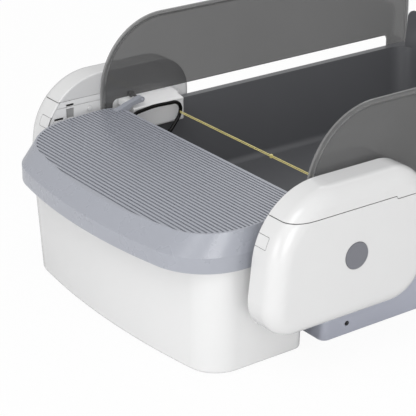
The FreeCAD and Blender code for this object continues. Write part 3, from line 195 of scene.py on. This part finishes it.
# Greys from a shield's edge inwards: places are shares of the reach, and past the last one
# the middle of the sheet begins. The clear and haze greys paint the raised rim's light and
# shade: a painted highlight line at the very edge, a lighter band over the rim, partly its own
# thicker haze and partly painted light, and a painted shade line at its inner foot.
RAMP_REACH = 0.0125
SHEET_STARTS = 0.66
PAINTED_RIM_CLEAR = [(0.0, 0.55), (0.09, 0.46), (0.42, 0.52), (0.54, 0.38)]
PAINTED_RIM_HAZE = [(0.0, 0.50), (0.10, 0.34), (0.42, 0.44), (0.54, 0.16)]
RIM_RISE = [(0.0, 0.0), (0.12, 1.0), (0.40, 1.0), (0.55, 0.0)]


def corner_depth(tree, along, up, radius):
    """Distance inside a rounded corner, from offsets measured from the corner's centre."""
    over_y = arithmetic(tree, "MAXIMUM", along)
    over_z = arithmetic(tree, "MAXIMUM", up)
    square = arithmetic(tree, "ADD", arithmetic(tree, "POWER", over_y, 2.0),
                        arithmetic(tree, "POWER", over_z, 2.0))
    return arithmetic(tree, "SUBTRACT", radius, arithmetic(tree, "SQRT", square))


def sheet_depth(tree):
    """How far a point of a side shield lies inside its front, top and back edges."""
    place = own_place(tree)
    y, z = place["Y"], place["Z"]
    before = arithmetic(tree, "SUBTRACT", SHIELD_FRONT + SHIELD_ROUND, y)
    above = arithmetic(tree, "SUBTRACT", z, SHIELD_TOP - SHIELD_ROUND)
    behind = arithmetic(tree, "SUBTRACT", y, SHIELD_BACK - SHIELD_BACK_ROUND)
    above_back = arithmetic(tree, "SUBTRACT", z, SHIELD_TOP - SHIELD_BACK_ROUND)
    return arithmetic(tree, "MINIMUM", corner_depth(tree, before, above, SHIELD_ROUND),
                      corner_depth(tree, behind, above_back, SHIELD_BACK_ROUND))


def tinted(name, clearness, haziness):
    """Smoky clear sheet with a raised rim: it dims, scatters and mirrors a little; the rim's
    highlight and shade lines are painted into its greys.
    """
    item, tree = blank(name)
    tree.nodes.remove(tree.nodes["Principled BSDF"])
    depth = arithmetic(tree, "MULTIPLY", sheet_depth(tree), 1 / RAMP_REACH)
    clear = ramp(tree, depth, PAINTED_RIM_CLEAR + [(SHEET_STARTS, clearness)])
    haze = ramp(tree, depth, PAINTED_RIM_HAZE + [(SHEET_STARTS, haziness)])
    rise = ramp(tree, depth, RIM_RISE)
    relief = add(tree, "ShaderNodeBump", Strength=1.0, Distance=RIM_HEIGHT)
    tree.links.new(rise, relief.inputs["Height"])
    through = tree.nodes.new("ShaderNodeBsdfTransparent")
    drift = spread(tree, grain(tree, 6.0), 0.98, 1.02)
    tree.links.new(mixed(tree, 1.0, clear, drift, "MULTIPLY"), through.inputs["Color"])
    gloss = add(tree, "ShaderNodeBsdfAnisotropic", Roughness=SHEET_ROUGHNESS)
    body = tree.nodes.new("ShaderNodeBsdfDiffuse")
    tree.links.new(haze, body.inputs["Color"])
    edge = add(tree, "ShaderNodeFresnel", IOR=SHEET_IOR)
    for shader in (gloss, body, edge):
        tree.links.new(relief.outputs["Normal"], shader.inputs["Normal"])
    seen = layered(tree, edge.outputs[0], layered(tree, MILK_SHARE, through, body), gloss)
    passing = add(tree, "ShaderNodeBsdfTransparent", Color=LIGHT_PASSING)
    path = tree.nodes.new("ShaderNodeLightPath")
    light = arithmetic(tree, "MAXIMUM", path.outputs["Is Shadow Ray"],
                       path.outputs["Is Diffuse Ray"])
    last = layered(tree, light, seen, passing)
    tree.links.new(last.outputs[0], tree.nodes["Material Output"].inputs["Surface"])
    return item


# Which piece wears what

# Distances from the middle: just short of the floor of the pod plates' recess, past which
# the recess floor is painted grey as painted shade, and the outer side of the lid's arms.
RECESS_FLOOR = 0.2262
ARM_SIDE = 0.1965


def both(*names):
    """The left and the right piece of each name."""
    return [name + side for name in names for side in ("_left", "_right")]


def dress(material, names):
    """Give pieces a material."""
    for name in names:
        item = nodes[name]
        item.data.materials.clear()
        item.data.materials.append(material)


def dress_box():
    """Base, tray, bin, lid and shields."""
    dress(plastic("blue_grey_shell", srgb(182, 185, 197), 0.42), ["base_frame", "base_plate"])
    dress(plastic("dark_tray", srgb(96, 97, 100), 0.36), ["litter_tray"])
    # One smoky sheet in two copies that differ to paint light: the right shield has more haze,
    # painted light on its lit outer face, and the left one less haze and more clearness, painted
    # shade inside the tub.
    dress(tinted("smoky_sheet_right_painted_lit", 0.49, 0.285), ["side_shield_right"])
    dress(tinted("smoky_sheet_left_painted_shade", 0.56, 0.125), ["side_shield_left"])
    # Painted shade on the bin's edges that turn away from the viewer.
    dress(plastic("white_bin", srgb(232, 232, 232), 0.22, vary=0.006, coat=0.3, edge_shade=0.9),
          ["waste_bin"])
    # Painted shade in the lid's rib grooves.
    dress(plastic("ribbed_lid", srgb(163, 166, 175), 0.28, vary=0.015, edge=0.0, bump=0.002,
                  groove_shade_reach=0.004, groove_shade_share=0.34, specular=0.9), ["step_lid"])
    pin = plastic("lid_pin", srgb(180, 183, 194), 0.3, vary=0.006)
    dress(beyond(pin, ARM_SIDE, srgb(80, 80, 80)), ["lid_pins"])
    dress(plastic("black_screws", srgb(24, 24, 25), 0.35), ["base_screws"])
    dress(plastic("rubber_feet", srgb(36, 36, 38), 0.8, texture=300.0, bump=0.1),
          ["foot_pads", "bin_feet"])


def dress_carriage():
    """Pods, arms and rake."""
    # Painted shade on the pods' turning edges and in their seams.
    dress(plastic("white_pod", srgb(227, 227, 227), 0.20, vary=0.006, coat=0.3, groove_shade_reach=0.002,
                  edge_shade=0.7), both("pod_shell", "pod_cover", "button"))
    # Painted shade in the plates' grooves, and the recess floor painted mid-grey as painted shade
    # in the recess.
    plate = plastic("pod_plate", srgb(244, 244, 244), 0.34, vary=0.006, groove_shade_reach=0.003, groove_shade_share=0.6)
    dress(beyond(plate, RECESS_FLOOR, srgb(168, 168, 168)), both("pod_backplate"))
    # Painted shade in the grooves and seams of the arms and screws.
    dress(plastic("grey_inner", srgb(244, 244, 244), 0.34, vary=0.006, groove_shade_reach=0.003, groove_shade_share=0.6),
          both("carriage_arm") + ["pod_screws"])
    dress(plastic("grey_panel", srgb(244, 244, 245), 0.34, vary=0.006), both("arm_panel"))
    dress(plastic("grey_cap", srgb(120, 121, 128), 0.40), both("axle_cap"))
    dress(plastic("black_rod", srgb(7, 7, 7), 0.2, specular=0.25), both("rake_hoop"))
    dress(plastic("brass_wire", srgb(252, 238, 160), 0.3, metal=0.15), ["rake_wires", "wire_clip"])
    dress(plastic("dark_rake", srgb(50, 51, 54), 0.4), ["rake_bar", "rake_comb"])


def dress_works():
    """Drive, rails and power."""
    dress(plastic("zinc", srgb(190, 192, 196), 0.28, metal=1.0), ["shield_screws", "roller_pins"])
    dress(plastic("natural_acetal", srgb(214, 212, 204), 0.45),
          both("side_rail", "drive_gear", "motor_pinion", "roller_front", "roller_back"))
    dress(plastic("motor_steel", srgb(150, 152, 156), 0.3, metal=1.0), both("drive_motor"))
    dress(plastic("battery_wrap", srgb(40, 60, 110), 0.35), ["battery_pack"])
    dress(plastic("board_green", srgb(24, 96, 60), 0.3), ["control_board"])
    dress(plastic("black_socket", srgb(14, 14, 15), 0.3), ["dc_socket"])


dress_box()
dress_carriage()
dress_works()


# Floor, lights and sky

FLOOR_SIZE = 40
FLOOR_WHITENESS = 0.94
ROOM_STRENGTH = 0.62


def floor():
    """Plain white ground: the camera sees it white with only a trace of shadow."""
    bpy.ops.mesh.primitive_plane_add(size=FLOOR_SIZE, location=(0, 0, 0))
    item = bpy.context.object
    item.name = "floor"
    ground = plastic("pale_floor", srgb(250, 250, 250), 0.9, vary=0.003, edge=0.0, specular=0.1)
    tree = ground.node_tree
    white = add(tree, "ShaderNodeEmission", Color=WHITE, Strength=1.0)
    path = tree.nodes.new("ShaderNodeLightPath")
    share = arithmetic(tree, "MULTIPLY", path.outputs["Is Camera Ray"], FLOOR_WHITENESS)
    last = layered(tree, share, tree.nodes["Principled BSDF"], white)
    tree.links.new(last.outputs[0], tree.nodes["Material Output"].inputs["Surface"])
    item.data.materials.append(ground)


def area(name, place, size, power, target):
    """A square lamp that points at a target."""
    lamp = bpy.data.lights.new(name, "AREA")
    lamp.shape = "SQUARE"
    lamp.size = size
    lamp.energy = power
    item = bpy.data.objects.new(name, lamp)
    item.location = place
    aim = Vector(target) - Vector(place)
    item.rotation_euler = aim.to_track_quat("-Z", "Y").to_euler()
    bpy.context.scene.collection.objects.link(item)


def sky():
    """A soft even room; the camera itself sees plain white."""
    world = bpy.data.worlds.new("studio")
    bpy.context.scene.world = world
    world.use_nodes = True
    tree = world.node_tree
    room = tree.nodes["Background"]
    room.inputs["Color"].default_value = WHITE
    room.inputs["Strength"].default_value = ROOM_STRENGTH
    white = add(tree, "ShaderNodeBackground", Color=WHITE, Strength=1.0)
    path = tree.nodes.new("ShaderNodeLightPath")
    last = layered(tree, path.outputs["Is Camera Ray"], room, white)
    tree.links.new(last.outputs[0], tree.nodes["World Output"].inputs["Surface"])


HEART = (0, 0, 0.12)
RIGHT_FRONT = (0.15, -0.25, 0.15)
floor()
area("key", (0.7, -1.5, 2.3), 1.2, 13, target=(0.1, -0.2, 0.15))
area("front", (0.35, -3.0, 0.8), 1.2, 9, target=HEART)
area("side", (2.25, -1.4, 0.85), 1.4, 16, target=RIGHT_FRONT)
area("back", (-1.4, 1.8, 2.2), 1.6, 9, target=HEART)
sky()


# Camera

CAMERA_PLACE = (1.5599, -1.30165, 0.950)
CAMERA_FORWARD = (-0.74255, 0.53832, -0.39854)
CAMERA_LENS = 143.39
SENSOR_WIDTH = 36


def aim_camera():
    """The photograph's view of the box."""
    lens = bpy.data.cameras.new("camera")
    lens.lens = CAMERA_LENS
    lens.sensor_width = SENSOR_WIDTH
    camera = bpy.data.objects.new("camera", lens)
    camera.location = CAMERA_PLACE
    camera.rotation_euler = Vector(CAMERA_FORWARD).to_track_quat("-Z", "Y").to_euler()
    bpy.context.scene.collection.objects.link(camera)
    bpy.context.scene.camera = camera


aim_camera()
bpy.context.scene.view_settings.view_transform = "Standard"
